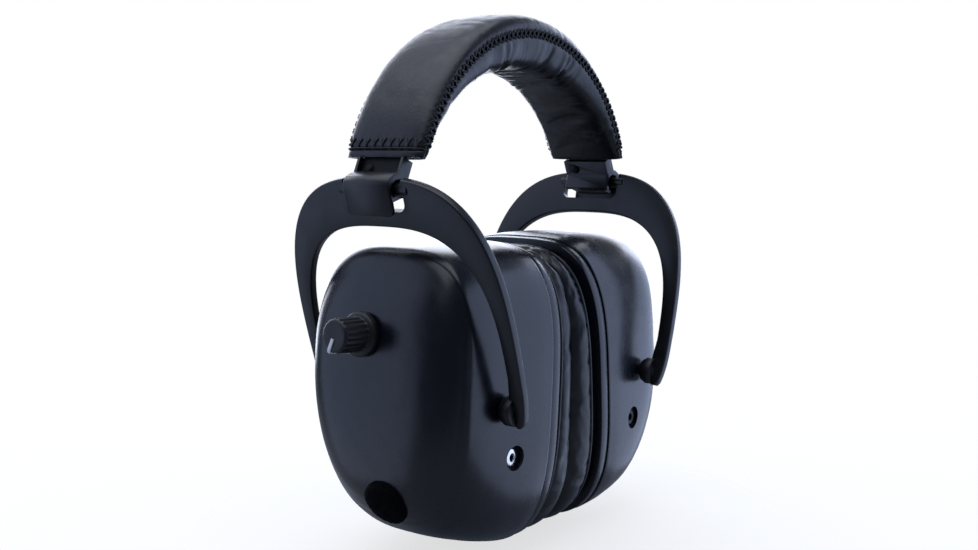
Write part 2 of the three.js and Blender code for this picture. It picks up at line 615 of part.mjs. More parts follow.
const SIDE_PIECES = [
  ['headband_spring_arm', springArm(), STEEL],
  ['headband_cover_arm', coverArm(), LEATHER],
  ['headband_pad_arm', padArm(), LEATHER],
  ['slider_guide', sliderGuide(), BLACK_RUBBER],
  ['slider_strap', sliderStrap(), STEEL],
  ['yoke_clip', clip(), YOKE_PLASTIC],
  ['clip_rivet', clipRivet(), STEEL],
  ['yoke', yoke(), YOKE_PLASTIC],
  ['front_pivot_pin', pivotPin(1), BLACK_RUBBER],
  ['rear_pivot_pin', pivotPin(-1), BLACK_RUBBER],
  ['cup_shell', cupShell(), SHELL_PLASTIC],
  ['back_plate', backPlate(), SHELL_PLASTIC],
  ['cushion_plate', cushionPlate(), SHELL_PLASTIC],
  ['upper_plate_screw', plateScrew(SCREWS[0]), STEEL],
  ['lower_plate_screw', plateScrew(SCREWS[1]), STEEL],
  ['ear_cushion', cushion(), LEATHER],
  ['foam_liner', foamLiner(), FOAM],
  ['speaker', speaker(), BLACK_RUBBER],
  ['circuit_board', circuitBoard(), GREEN_BOARD],
  ['battery_tray', batteryTray(), BLACK_RUBBER],
  ['battery', battery(), CELL],
  ['volume_pot', volumePot(), STEEL],
  ['volume_knob', volumeKnob, BLACK_RUBBER],
  ['knob_pointer', knobPointer, WHITE],
  ['mic_capsule', micCapsule(), STEEL],
  ['mic_windscreen', micWindscreen(), FOAM],
  ['audio_jack', audioJack(), BLACK_RUBBER],
  // Only the left cup's socket has a bright rim; the right one is a black blank.
  ['jack_ring', jackRing(), { left: CHROME, right: BLACK_RUBBER }],
];
SIDE_PIECES.forEach(([name, geometry, material]) => addPair(name, geometry, material));

export default earmuff;
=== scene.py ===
import json
import math
import random

import bmesh
import bpy
import numpy as np
from mathutils import Matrix, Vector


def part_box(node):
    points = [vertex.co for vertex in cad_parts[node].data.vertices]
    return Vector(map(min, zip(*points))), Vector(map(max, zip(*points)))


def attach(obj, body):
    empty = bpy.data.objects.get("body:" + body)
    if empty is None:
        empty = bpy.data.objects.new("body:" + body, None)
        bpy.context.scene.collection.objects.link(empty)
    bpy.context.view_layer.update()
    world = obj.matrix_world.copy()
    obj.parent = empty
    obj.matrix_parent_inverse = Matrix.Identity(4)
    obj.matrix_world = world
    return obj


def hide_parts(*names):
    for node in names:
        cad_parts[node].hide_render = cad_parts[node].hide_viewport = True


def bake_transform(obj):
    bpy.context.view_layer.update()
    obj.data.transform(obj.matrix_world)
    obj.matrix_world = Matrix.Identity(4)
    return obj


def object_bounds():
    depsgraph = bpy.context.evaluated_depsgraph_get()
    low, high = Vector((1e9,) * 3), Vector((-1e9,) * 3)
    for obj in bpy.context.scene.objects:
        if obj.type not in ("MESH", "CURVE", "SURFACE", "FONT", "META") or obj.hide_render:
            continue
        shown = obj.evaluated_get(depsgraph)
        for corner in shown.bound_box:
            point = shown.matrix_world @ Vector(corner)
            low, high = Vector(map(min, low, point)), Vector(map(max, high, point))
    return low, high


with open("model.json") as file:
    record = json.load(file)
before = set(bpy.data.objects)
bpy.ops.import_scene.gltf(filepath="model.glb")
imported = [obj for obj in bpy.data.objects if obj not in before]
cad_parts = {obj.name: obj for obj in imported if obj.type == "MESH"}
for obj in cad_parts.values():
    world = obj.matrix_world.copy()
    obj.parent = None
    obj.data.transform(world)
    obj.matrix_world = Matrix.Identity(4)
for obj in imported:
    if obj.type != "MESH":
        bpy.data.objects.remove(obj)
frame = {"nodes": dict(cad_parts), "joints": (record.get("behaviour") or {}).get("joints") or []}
CAD_LOW, CAD_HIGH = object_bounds()
CENTRE = (CAD_LOW + CAD_HIGH) / 2
JOINTS = {joint["name"]: joint for joint in frame["joints"]}
MM = 0.001
SIDES = ("right", "left")

# -------------------- driving sizes, in millimetres
# The headband's layers are arcs in the XZ plane: radius, and height of the centre.
COVER_ARC = (62.9, -44.2)
SPRING_ARC = (62.5, -50.7)
PAD_ARC = (66.8, -66.8)
BAND_END = math.radians(78)
BAND_HALF_WIDTH = 16.6
STITCH_PITCH = 2.8
STITCH_RISE = 1.75
STITCH_RADIUS = 0.4
HALF_LENGTH = BAND_END * SPRING_ARC[0]

# Cup outline at each depth from the seam: depth, half width, top, bottom, squareness above, below
# in front and below behind, and height of the widest line.
CUP_STATIONS = [
    (0, 37.4, 54, -52, 3.4, 2.9, 3.1, 0),
    (8, 37.2, 54.1, -50.2, 3.3, 2.9, 3.6, 1),
    (20, 36.3, 53.2, -47.4, 3.2, 2.75, 4, 4),
    (31, 35.2, 52.2, -44.4, 3.2, 2.5, 3.5, 7),
    (38, 33.9, 51.3, -40.4, 3.1, 2.35, 3.15, 9.6),
    (40.8, 32.9, 50.2, -38, 3.1, 2.25, 3.05, 10.8),
    (42.6, 31.9, 47.8, -36.4, 3.0, 2.2, 3, 11.8),
    (44.4, 30.8, 43.9, -34.2, 2.9, 2.15, 3, 12.6),
    (46.3, 28.9, 39.5, -31.4, 2.8, 2.1, 3, 13),
    (48, 26, 34.8, -27, 2.6, 2, 2.8, 13),
    (49.2, 21.5, 30, -20, 2.4, 2, 2.6, 13),
    (49.9, 15, 24.5, -9, 2.2, 2, 2.3, 13),
    (50.2, 8, 17, 2, 2.1, 2, 2.1, 12),
]
SHELL_WALL = 2.4
KNOB = {"y": 3.9, "v": 22.6, "base": 50.2, "skirt_radius": 7.4, "cap_radius": 5.5, "skirt": 2.7, "height": 13}
MIC = {"d": 45.6, "y": -5.3, "v": -31.8, "lean": math.radians(35), "radius": 8.1, "capsule": 5.1}
JACK = {"d": 18.2, "v": -15.9, "ring": 3.0, "recess": 4.2}

# -------------------- camera
CAMERA_AZIMUTH, CAMERA_ELEVATION, CAMERA_ROLL = (math.radians(a) for a in (-52.66, 5.96, 0.27))
CAMERA_DISTANCE = 0.42
CAMERA_LENS = 42.52
AIM_SHIFT = Vector((-0.0036, 0.00095, -0.0002))


def add_object(name, data):
    obj = bpy.data.objects.new(name, data)
    bpy.context.scene.collection.objects.link(obj)
    return obj


def make_camera():
    camera = add_object("camera", bpy.data.cameras.new("camera"))
    back = Vector((
        math.sin(CAMERA_AZIMUTH) * math.cos(CAMERA_ELEVATION),
        -math.cos(CAMERA_AZIMUTH) * math.cos(CAMERA_ELEVATION),
        math.sin(CAMERA_ELEVATION),
    ))
    camera.data.lens = CAMERA_LENS
    camera.data.clip_start = 0.01
    camera.location = CENTRE + AIM_SHIFT + back * CAMERA_DISTANCE
    camera.rotation_mode = "QUATERNION"
    roll = Matrix.Rotation(CAMERA_ROLL, 3, "Z")
    facing = (-back).to_track_quat("-Z", "Y").to_matrix() @ roll
    camera.rotation_quaternion = facing.to_quaternion()
    bpy.context.scene.camera = camera


make_camera()

# -------------------- frames of the right side
AXIS_Y = np.array((0.0, 1.0, 0.0))


def joint_point(name):
    return np.array(JOINTS[name]["pos_m"]) / MM


def local_frame(origin, up):
    """Origin, outward, forward and up directions. Built on the right side, so outward is +X-like."""
    up = np.array(up) / np.linalg.norm(up)
    return origin, np.cross(AXIS_Y, up), up


def place(points, where):
    """Points given as (outward, forward, up) in a local frame, in millimetres, in the row's frame."""
    origin, out, up = where
    points = np.asarray(points, float)
    return origin + points[:, :1] * out + points[:, 1:2] * AXIS_Y + points[:, 2:] * up


KNOB_OUT = -np.array(JOINTS["right_volume_turn"]["axis"])
CUP_UP = np.cross(KNOB_OUT, AXIS_Y)
KNOB_IN_CUP = KNOB["base"] * KNOB_OUT + KNOB["y"] * AXIS_Y + KNOB["v"] * CUP_UP
CUP_ORIGIN = joint_point("right_volume_turn") - KNOB_IN_CUP
IN_CUP = local_frame(CUP_ORIGIN, CUP_UP)
PIVOT = joint_point("right_cup_level")
IN_YOKE = local_frame(PIVOT, joint_point("right_yoke_tilt") - PIVOT)

# -------------------- mesh helpers


def unit(rows):
    """Each row scaled to length 1."""
    return rows / np.linalg.norm(rows, axis=1)[:, None]


def angles_round(count):
    return np.linspace(0, 2 * math.pi, count, endpoint=False)


def bell(distance):
    """1 in the middle, and close to 0 from a distance of 2 on."""
    return np.exp(-(distance**2))


def smooth_rows(rows, count):
    """count rows along a Catmull-Rom curve through the given rows of numbers."""
    rows = np.array(rows, float)
    ends = np.vstack([2 * rows[0] - rows[1], rows, 2 * rows[-1] - rows[-2]])
    t = np.linspace(0, len(rows) - 1, count)
    i = np.minimum(t.astype(int), len(rows) - 2)
    u = (t - i)[:, None]
    a, b, c, d = (ends[i + k] for k in range(4))
    return 0.5 * (2 * b + (c - a) * u + (2 * a - 5 * b + 4 * c - d) * u**2 + (3 * b - a - 3 * c + d) * u**3)


def loop_faces(rows, columns, closed_rows=False):
    """Quads between rings of points; each ring is closed."""
    faces = []
    for r in range(rows if closed_rows else rows - 1):
        for c in range(columns):
            ahead, below = (c + 1) % columns, (r + 1) % rows * columns
            faces.append((r * columns + c, r * columns + ahead, below + ahead, below + c))
    return faces


def make_object(name, points, faces, side, crease=None):
    """A mesh object from points in millimetres, mirrored for the left side."""
    points = np.asarray(points, float) * MM
    if side == "left":
        points = points * (-1, 1, 1)
    mesh = bpy.data.meshes.new(name)
    mesh.from_pydata(points.tolist(), [], faces)
    tidy = bmesh.new()
    tidy.from_mesh(mesh)
    bmesh.ops.recalc_face_normals(tidy, faces=tidy.faces)
    tidy.to_mesh(mesh)
    tidy.free()
    obj = add_object(name, mesh)
    smooth(obj, crease)
    return obj


def smooth(obj, crease=None):
    obj.data.polygons.foreach_set("use_smooth", [True] * len(obj.data.polygons))
    if crease is not None:
        obj.data.set_sharp_from_angle(angle=math.radians(crease))


def solid_loft(rings):
    """Points and faces of a closed body through rings of equally many points."""
    rings = [np.asarray(ring, float) for ring in rings]
    columns = len(rings[0])
    faces = loop_faces(len(rings), columns)
    last = (len(rings) - 1) * columns
    faces.append(tuple(range(columns)))
    faces.append(tuple(range(last, last + columns)))
    return np.vstack(rings), faces


def ring_loft(rings):
    """Points and faces of a closed ring-shaped body: the last ring joins the first."""
    return np.vstack(rings), loop_faces(len(rings), len(rings[0]), closed_rows=True)


def ring_at(height, radius, angles):
    return np.column_stack([np.full(len(angles), height), radius * np.cos(angles), radius * np.sin(angles)])


def turned(profile, segments):
    """Rings of a turned body. profile holds (radius, height), from one end to the other."""
    return [ring_at(height, radius, angles_round(segments)) for radius, height in profile]


TUBE_TIP = 0.55                   # a tube's radius at its tips, as a share


def tube(path, radius, sides=6):
    """Points and faces of a closed tube along a path, narrower at its tips."""
    path = np.asarray(path, float)
    tangent = unit(np.gradient(path, axis=0))
    side = unit(np.cross(tangent, (0.31, 0.87, 0.39)))
    other = np.cross(tangent, side)
    size = np.full(len(path), radius)
    size[[0, -1]] *= TUBE_TIP
    angles = angles_round(sides)
    rings = [
        p + s * (np.outer(np.cos(angles), u) + np.outer(np.sin(angles), v))
        for p, s, u, v in zip(path, size, side, other)
    ]
    return solid_loft(rings)


def joined(parts):
    """One set of points and faces from several."""
    points, faces, first = [], [], 0
    for more, quads in parts:
        points.append(more)
        faces += [tuple(v + first for v in quad) for quad in quads]
        first += len(more)
    return np.vstack(points), faces


def combine(obj, tool, operation):
    """Cuts or joins another solid, and removes it."""
    step = obj.modifiers.new("combine", "BOOLEAN")
    step.operation = operation
    step.solver = "MANIFOLD"
    step.object = tool
    apply_modifiers(obj)
    bpy.data.objects.remove(tool)


def apply_modifiers(obj):
    graph = bpy.context.evaluated_depsgraph_get()
    mesh = bpy.data.meshes.new_from_object(obj.evaluated_get(graph))
    old, obj.data = obj.data, mesh
    obj.modifiers.clear()
    name = old.name
    bpy.data.meshes.remove(old)
    mesh.name = name


def dress(obj, body, material, slot):
    """Gives a piece its material and the body it moves with; its record slot is not used."""
    obj.data.materials.clear()
    obj.data.materials.append(material)
    if body:
        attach(obj, body)


# -------------------- materials
class Look:
    """A node material with object coordinates, built up from noise, cells and bump."""

    def __init__(self, name, roughness, metallic=0.0, specular=0.5):
        self.material = bpy.data.materials.new(name)
        self.material.use_nodes = True
        self.nodes = self.material.node_tree.nodes
        self.links = self.material.node_tree.links
        self.shader = self.nodes["Principled BSDF"]
        self.set({"Roughness": roughness, "Metallic": metallic, "Specular IOR Level": specular})
        self.place = self.nodes.new("ShaderNodeTexCoord").outputs["Object"]
        self.normal = None

    def set(self, values, node=None):
        for name, value in values.items():
            (node or self.shader).inputs[name].default_value = value

    def add(self, kind, values, vector="Vector", source=None):
        """A node with values set and one input linked."""
        node = self.nodes.new(f"ShaderNode{kind}")
        self.set(values, node)
        self.links.new(source or self.place, node.inputs[vector])
        return node

    def noise(self, scale, detail=3.0, stretch=None):
        source = self.add("Mapping", {"Scale": stretch}).outputs["Vector"] if stretch else None
        return self.add("TexNoise", {"Scale": scale, "Detail": detail}, source=source).outputs["Fac"]

    def cells(self, scale, feature="F1"):
        node = self.add("TexVoronoi", {"Scale": scale})
        node.feature = feature
        return node.outputs["Distance"]

    def spread(self, value, low, high, start=0.3, end=0.7):
        values = {"From Min": start, "From Max": end, "To Min": low, "To Max": high}
        return self.add("MapRange", values, "Value", value).outputs["Result"]

    def colour(self, value, dark, light, start=0.3, end=0.7):
        node = self.add("ValToRGB", {}, "Fac", value)
        for stop, position, tint in zip(node.color_ramp.elements, (start, end), (dark, light)):
            stop.position = position
            stop.color = (*tint, 1)
        self.links.new(node.outputs["Color"], self.shader.inputs["Base Color"])

    def rough(self, value, low, high):
        self.links.new(self.spread(value, low, high), self.shader.inputs["Roughness"])

    def bump(self, value, strength, depth):
        node = self.add("Bump", {"Strength": strength, "Distance": depth * MM}, "Height", value)
        if self.normal:
            self.links.new(self.normal, node.inputs["Normal"])
        self.normal = node.outputs["Normal"]
        self.links.new(self.normal, self.shader.inputs["Normal"])


def moulded(name, dark, light, roughness):
    look = Look(name, roughness)
    look.colour(look.noise(45), dark, light)
    look.rough(look.noise(160, 4), roughness - 0.03, roughness + 0.05)
    look.bump(look.noise(2600, 2), 0.12, 0.05)
    return look.material


def leather(name, dark, light, roughness, grain):
    look = Look(name, roughness)
    look.colour(look.noise(70, 4), dark, light)
    look.rough(look.noise(240, 4), roughness - 0.05, roughness + 0.08)
    look.bump(look.cells(1350, "SMOOTH_F1"), 0.28 * grain, 0.12)
    look.bump(look.noise(520, 5), 0.22 * grain, 0.25)
    look.bump(look.noise(3800, 2), 0.10 * grain, 0.04)
    return look.material


def foam(name):
    look = Look(name, 0.95, specular=0.05)
    look.colour(look.cells(1500), (0.0008, 0.0008, 0.001), (0.004, 0.004, 0.005), 0.1, 0.6)
    look.bump(look.cells(1500), 0.9, 0.35)
    look.bump(look.noise(4200, 2), 0.5, 0.1)
    return look.material


def thread(name):
    look = Look(name, 0.62)
    look.colour(look.noise(900), (0.002, 0.002, 0.003), (0.006, 0.006, 0.008))
    look.bump(look.noise(2600, 2, (1, 3, 1)), 0.5, 0.12)
    return look.material


def metal(name, dark, light, roughness, stretch):
    look = Look(name, roughness, metallic=1.0)
    look.colour(look.noise(300), dark, light)
    look.rough(look.noise(1500, 3, stretch), roughness - 0.06, roughness + 0.1)
    look.bump(look.noise(3000, 2, stretch), 0.08, 0.03)
    return look.material


def paint(name, dark, light, roughness, specular=0.5):
    look = Look(name, roughness, specular=specular)
    look.colour(look.noise(700), dark, light)
    look.rough(look.noise(900), roughness - 0.05, roughness + 0.08)
    look.bump(look.noise(2200, 2), 0.15, 0.03)
    return look.material


SHELL = moulded("shell_plastic", (0.003, 0.004, 0.008), (0.005, 0.006, 0.011), 0.25)
YOKE = moulded("yoke_plastic", (0.003, 0.004, 0.006), (0.005, 0.006, 0.009), 0.36)
COVER_LEATHER = leather("cover_leather", (0.004, 0.005, 0.008), (0.007, 0.008, 0.012), 0.38, 1.0)
PAD_LEATHER = leather("pad_leather", (0.003, 0.0035, 0.005), (0.005, 0.006, 0.009), 0.34, 1.2)
CUSHION_LEATHER = leather("cushion_leather", (0.003, 0.004, 0.006), (0.006, 0.007, 0.010), 0.36, 0.8)
THREAD = thread("black_thread")
FOAM = foam("open_cell_foam")
RUBBER = moulded("black_rubber", (0.003, 0.003, 0.004), (0.006, 0.006, 0.007), 0.45)
CHROME = metal("chrome", (0.72, 0.73, 0.75), (0.85, 0.86, 0.88), 0.12, (1, 1, 1))
STEEL = metal("steel", (0.36, 0.37, 0.39), (0.50, 0.51, 0.53), 0.34, (1, 1, 12))
# Black painted steel for the strap and rivet. Its colour is also darkened as painted shade for the deep
# recess of the slider's neck.
BLACK_STEEL_AND_PAINTED_SHADE = paint("black_steel", (0.003, 0.003, 0.004), (0.006, 0.006, 0.007), 0.55, 0.2)
WHITE = paint("white_paint", (0.74, 0.76, 0.78), (0.86, 0.88, 0.90), 0.45)
BOARD = paint("circuit_board", (0.012, 0.08, 0.032), (0.020, 0.12, 0.05), 0.4)
CELL = metal("battery_can", (0.38, 0.35, 0.26), (0.52, 0.48, 0.38), 0.3, (1, 8, 1))

# -------------------- headband


def reach(arc, phi):
    """Distance from the cover's centre to an arc, along a ray at angle phi from up."""
    shift = arc[1] - COVER_ARC[1]
    return shift * np.cos(phi) + np.sqrt(arc[0] ** 2 - (shift * np.sin(phi)) ** 2)


def band_points(phi, across, lift):
    """Points of the band from the angle, the place across it, and the height over the spring."""
    radius = reach(SPRING_ARC, phi) + lift
    return np.stack([radius * np.sin(phi), across + 0 * phi, COVER_ARC[1] + radius * np.cos(phi)], -1)


def ease(value, low, high):
    """0 before low, 1 after high, and smooth between."""
    t = np.clip((value - low) / (high - low), 0, 1)
    return t * t * (3 - 2 * t)


def fuller(phi, most, start, full):
    """How much fuller the band is near its ends, between two angles in degrees."""
    return most * ease(np.abs(phi), math.radians(start), math.radians(full))


def cover_height(phi):
    return COVER_ARC[0] - reach(SPRING_ARC, phi) + fuller(phi, 0.5, 58, 72)


def pad_depth(phi):
    return reach(SPRING_ARC, phi) - reach(PAD_ARC, phi) + fuller(phi, 0.4, 52, 68)


# Half a section from the seam to the middle: place across, and share of the height.
COVER_PROFILE = [
    (16.1, 0.02), (16.6, 0.2), (16.1, 0.46), (14.6, 0.74), (12.2, 0.9), (8.8, 0.985), (4.4, 1.02), (0, 1.03),
]
PAD_PROFILE = [
    (16.1, 0.02), (16.5, 0.2), (15.9, 0.46), (14.2, 0.76), (11.2, 0.94), (7.6, 1.0), (4, 1.01), (0, 1.01),
]


def full_profile(profile, count):
    """The whole section, from the rear seam over the middle to the front seam."""
    half = smooth_rows(profile, count)
    return np.vstack([half * (-1, 1), half[-2::-1]])


def strap_room(phi, across):
    """Half the height of the pocket for the spring, growing to the slider's mouth at the ends."""
    edge = 1 - ease(np.abs(across), 11.2, 12.4)
    end = ease(np.abs(phi), math.radians(60), math.radians(66))
    return 0.06 + edge * (0.84 + 0.7 * end)


def folds(rng, count, span, reach_across, depth, width):
    """Soft creases across the band: place along, slope, place across, reach, depth and width of each."""
    return [
        (rng.uniform(-span, span), rng.uniform(-0.35, 0.35), rng.uniform(-15, 15),
         rng.uniform(*reach_across), rng.uniform(*depth), rng.uniform(*width))
        for _ in range(count)
    ]


def fold_relief(creases, along, across):
    relief = np.zeros_like(along)
    for place_along, slope, centre, spread, depth, width in creases:
        offset = along - place_along - slope * across - 0.018 * across**2 * np.sign(slope)
        window = bell((across - centre) / spread)
        valley = -bell(offset / width)
        sides = 0.55 * bell((np.abs(offset) - 2.1 * width) / (1.3 * width))
        relief += depth * window * (valley + sides)
    return relief


BAND_RINGS = 400
SECTION_POINTS = 26


def band_grid(profile, height_of, relief_of, upward):
    """A whole leather layer of the band, as rings of points from the left end to the right end."""
    phi = np.linspace(-BAND_END, BAND_END, BAND_RINGS + 1)[:, None]
    section = full_profile(profile, SECTION_POINTS)
    across, share = section[:, 0][None, :], section[:, 1][None, :]
    along = phi * SPRING_ARC[0]
    height = height_of(phi)
    edge = bell(share * height / 1.5)
    pucker = -0.32 * edge * (0.5 + 0.5 * np.cos(2 * math.pi * along / STITCH_PITCH))
    relief = relief_of(along + 0 * across, across + 0 * along, share + 0 * along)
    spread = across * (1 + (pucker + relief * (1 - share)) / BAND_HALF_WIDTH)
    lift = upward * (share * height + (relief + pucker * 0.4) * np.sqrt(share))
    outer = band_points(phi + 0 * across, spread, lift)
    inner_across = np.linspace(15.6, -15.6, 23)[None, :]
    inner_lift = upward * strap_room(phi, inner_across)
    inner = band_points(phi + 0 * inner_across, inner_across + 0 * phi, inner_lift)
    return np.concatenate([outer, inner], 1)


def grid_normals(grid):
    """Smooth normals of a grid whose rings are closed, so that its two halves shade as one."""
    along = np.gradient(grid, axis=0)
    around = (np.roll(grid, -1, 1) - np.roll(grid, 1, 1)) / 2
    normals = np.cross(around, along)
    return normals / np.maximum(np.linalg.norm(normals, axis=2), 1e-9)[..., None]


def half_band(name, grid, side, normals):
    """One half of a layer. The halves share their normals where they meet."""
    middle = BAND_RINGS // 2
    rows = slice(middle, None) if side == "right" else slice(0, middle + 1)
    rings, kept = grid[rows], normals[rows]
    points, faces = solid_loft(list(rings))
    obj = make_object(name, points, faces, "right")
    around = kept.reshape(-1, 3)
    first = obj.data.polygons[0]
    if Vector(around[first.vertices[0]]).dot(first.normal) < 0:
        around = -around
    obj.data.normals_split_custom_set_from_vertices(around.tolist())
    return obj


# Creases of each kind: count, span along, then least and most of reach across, depth and width.
COVER_CREASES = ((46, 42, (4, 9), (0.05, 0.16), (0.7, 1.3)), (10, 75, (8, 14), (0.06, 0.16), (2.5, 5)))
PAD_CREASES = (
    (15, 30, (7, 15), (0.35, 0.85), (0.9, 1.7)), (26, 78, (6, 13), (0.15, 0.42), (1.6, 3.4)),
    (60, 78, (3, 7), (0.05, 0.15), (0.5, 1.0)),
)


def cover_relief(along, across, share):
    rng = random.Random(4)
    fine, broad = (folds(rng, *row) for row in COVER_CREASES)
    relief = fold_relief(fine, along, across) * (0.35 + 0.65 * (1 - share))
    relief = relief + fold_relief(broad, along, across)
    end = HALF_LENGTH - np.abs(along)
    pinch = -0.55 * bell((end - 2.7) / 0.55) - 0.5 * bell(end / 0.5)
    gathers = 0.16 * bell((end - 4.6) / 2.2) * np.cos(2 * math.pi * across / END_STITCH_PITCH)
    return relief + (pinch + gathers) * ease(share, 0.1, 0.6)


def pad_relief(along, across, share):
    rng = random.Random(11)
    relief = sum(fold_relief(folds(rng, *row), along, across) for row in PAD_CREASES)
    end = HALF_LENGTH - np.abs(along)
    return relief * ease(share, 0.0, 0.35) * ease(end, 1, 8) - 0.5 * bell(end / 0.8)


END_STITCH_PITCH = 3.6
# The seam across the band's end: its place and where the side stitches stop, both from the end.
END_SEAM = {"line": 2.75, "clear": 3.4, "radius": 0.34}


def seam_place(profile, share):
    """How far across the section a given share of its height lies, near the seam."""
    rows = smooth_rows(profile, 60)[:20]
    return np.interp(share, rows[:, 1], rows[:, 0])


def edge_stitch(along, slant, edge, rng):
    """One strand of the crossed stitching over the seam, from the cover down to the pad."""
    rise = STITCH_RISE + rng.uniform(-0.15, 0.15)
    steps = np.linspace(1, -1, 7)
    phi = (along + slant * steps * STITCH_PITCH * 0.52) / SPRING_ARC[0]
    lift = steps * rise
    cover = seam_place(COVER_PROFILE, np.clip(lift, 0, None) / cover_height(phi))
    pad = seam_place(PAD_PROFILE, np.clip(-lift, 0, None) / pad_depth(phi))
    across = np.where(lift > 0, cover, pad) + 0.22 - 0.5 * np.abs(steps) ** 6
    return tube(band_points(phi, edge * across, lift), STITCH_RADIUS)


def end_stitch(across, rng):
    """A stitch of the band's end row: two arms that meet in a stem, on the cover's surface."""
    strands = []
    foot, fork, tip = HALF_LENGTH - 2.9, HALF_LENGTH - 4.2, HALF_LENGTH - 6.0 + rng.uniform(-0.2, 0.2)
    for lean in (-1, 1):
        path = [(foot, across), (fork, across + 0.15 * lean), (tip, across + lean * 1.15)]
        rows = smooth_rows(path, 6)
        strands.append(on_cover(rows, 0.32))
    return strands


def on_cover(rows, radius):
    """A tube along (distance along, place across) rows, lying on the cover."""
    phi = rows[:, 0] / SPRING_ARC[0]
    half = smooth_rows(COVER_PROFILE, 80)[::-1]
    share = np.interp(np.abs(rows[:, 1]), half[:, 0], half[:, 1])
    lift = share * cover_height(phi) + 0.12
    return tube(band_points(phi, rows[:, 1], lift), radius)


def band_stitching(side):
    rng = random.Random(21 if side == "right" else 22)
    strands = []
    for k in range(int((HALF_LENGTH - END_SEAM["clear"]) / STITCH_PITCH)):
        for edge in (-1, 1):
            for slant in (-1, 1):
                strands.append(edge_stitch((k + 0.5) * STITCH_PITCH, slant, edge, rng))
    for k in range(-4, 5):
        strands += end_stitch(k * END_STITCH_PITCH * 0.98, rng)
    line = HALF_LENGTH - END_SEAM["line"]
    rows = np.array([(line, y) for y in np.linspace(-BAND_HALF_WIDTH, BAND_HALF_WIDTH, 40)])
    strands.append(on_cover(rows, END_SEAM["radius"]))
    return joined(strands)


def bend_with_band(obj):
    """Bakes the piece's placement into its mesh."""
    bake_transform(obj)


def make_headband():
    cover = band_grid(COVER_PROFILE, cover_height, cover_relief, 1)
    pad = band_grid(PAD_PROFILE, pad_depth, pad_relief, -1)
    layers = (("cover", cover, COVER_LEATHER), ("pad", pad, PAD_LEATHER))
    for layer, grid, look in layers:
        normals = grid_normals(grid)
        for side in SIDES:
            obj = half_band(f"{side}_band_{layer}", grid, side, normals)
            dress(obj, None, look, "leather")
            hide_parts(f"headband_{layer}_crown", f"{side}_headband_{layer}_arm")
            bend_with_band(obj)
    for side in SIDES:
        obj = make_object(f"{side}_band_stitching", *band_stitching(side), side)
        dress(obj, None, THREAD, "leather")
        bend_with_band(obj)


make_headband()

# -------------------- yoke
YOKE_THICK = 3.2
YOKE_ROUNDNESS = 2.9
YOKE_EDGE = 0.75
YOKE_OUTER = {"half": 46.2, "height": 61, "base": 16}
YOKE_INNER = {"half": 41, "height": 48.6, "base": 12}
# Below the arches each leg runs down to its tip: outer and inner place across, and height.
YOKE_LEG = [
    (46.2, 16, 41, 12), (45.95, 6, 40.1, 5.5), (45.3, 0.5, 39.3, 0.5), (44.3, -3.6, 39.9, -3.4),
    (43.1, -5.3, 41.2, -5.2),
]
BAR_HEIGHT = 73
BAR_RADIUS = 2.1
# The window under the bar: half width, foot, corners, open top and places outward.
WINDOW = {"half": 12.5, "foot": 66, "corner": 2.8, "top": 90, "reach": (-9, 9)}
BOSS_HOLE = {"radius": 4.95, "start": 30, "end": 41.65}


def arch(shape, angles):
    c, s = np.cos(angles), np.sin(angles)
    r = (np.abs(c) ** YOKE_ROUNDNESS + np.abs(s) ** YOKE_ROUNDNESS) ** (-1 / YOKE_ROUNDNESS)
    return np.stack([shape["half"] * r * c, shape["base"] + shape["height"] * r * s], 1)


def rounded_rectangle(half_x, half_s, rounding, steps=5):
    """A loop of (x, s) points round a rectangle with round corners."""
    loop = []
    for corner in range(4):
        side_x = 1 if corner in (0, 3) else -1
        side_s = 1 if corner in (0, 1) else -1
        for turn in np.linspace(corner, corner + 1, steps) * math.pi / 2:
            loop.append((
                side_x * (half_x - rounding) + rounding * math.cos(turn),
                side_s * (half_s - rounding) + rounding * math.sin(turn),
            ))
    return np.array(loop)


def bar_section(outer, inner):
    """The yoke's section between an outer and an inner point, as (outward, forward, up)."""
    outer, inner = np.array(outer), np.array(inner)
    middle, gap = (outer + inner) / 2, np.linalg.norm(outer - inner)
    loop = rounded_rectangle(YOKE_THICK / 2, gap / 2, min(YOKE_EDGE, gap * 0.45))
    plane = middle + loop[:, 1:] * (outer - inner) / gap
    return np.column_stack([loop[:, 0], plane])


def yoke_body():
    leg = smooth_rows(YOKE_LEG, 26)
    angles = np.linspace(0, math.pi, 121)
    outer, inner = arch(YOKE_OUTER, angles), arch(YOKE_INNER, angles)
    right = [(row[:2], row[2:]) for row in leg[:0:-1]]
    left = [((-row[0], row[1]), (-row[2], row[3])) for row in leg[1:]]
    pairs = right + list(zip(outer, inner)) + left
    return solid_loft([bar_section(*pair) for pair in pairs])


def rod(radius, start, end, axis, centre=(0, 0, 0), segments=48):
    """A closed rod along 'x' or 'y' in a local frame."""
    points, faces = solid_loft(turned([(radius, start), (radius, end)], segments))
    order = (0, 1, 2) if axis == "x" else (1, 0, 2)
    return points[:, order] + np.array(centre), faces


def block(low, high):
    """A box as points and faces."""
    corners = [(x, y, z) for x in (low[0], high[0]) for y in (low[1], high[1]) for z in (low[2], high[2])]
    faces = [(0, 1, 3, 2), (4, 6, 7, 5), (0, 4, 5, 1), (2, 3, 7, 6), (0, 2, 6, 4), (1, 5, 7, 3)]
    return np.array(corners, float), faces


def solid_at(where, shape, side, crease=None, name="tool"):
    """A temporary or final object from a shape given in a local frame."""
    points, faces = shape
    return make_object(name, place(points, where), faces, side, crease)


def cut(obj, where, shape, side, operation="DIFFERENCE"):
    """Cuts a shape given in a local frame out of a piece, or joins it to the piece."""
    combine(obj, solid_at(where, shape, side), operation)


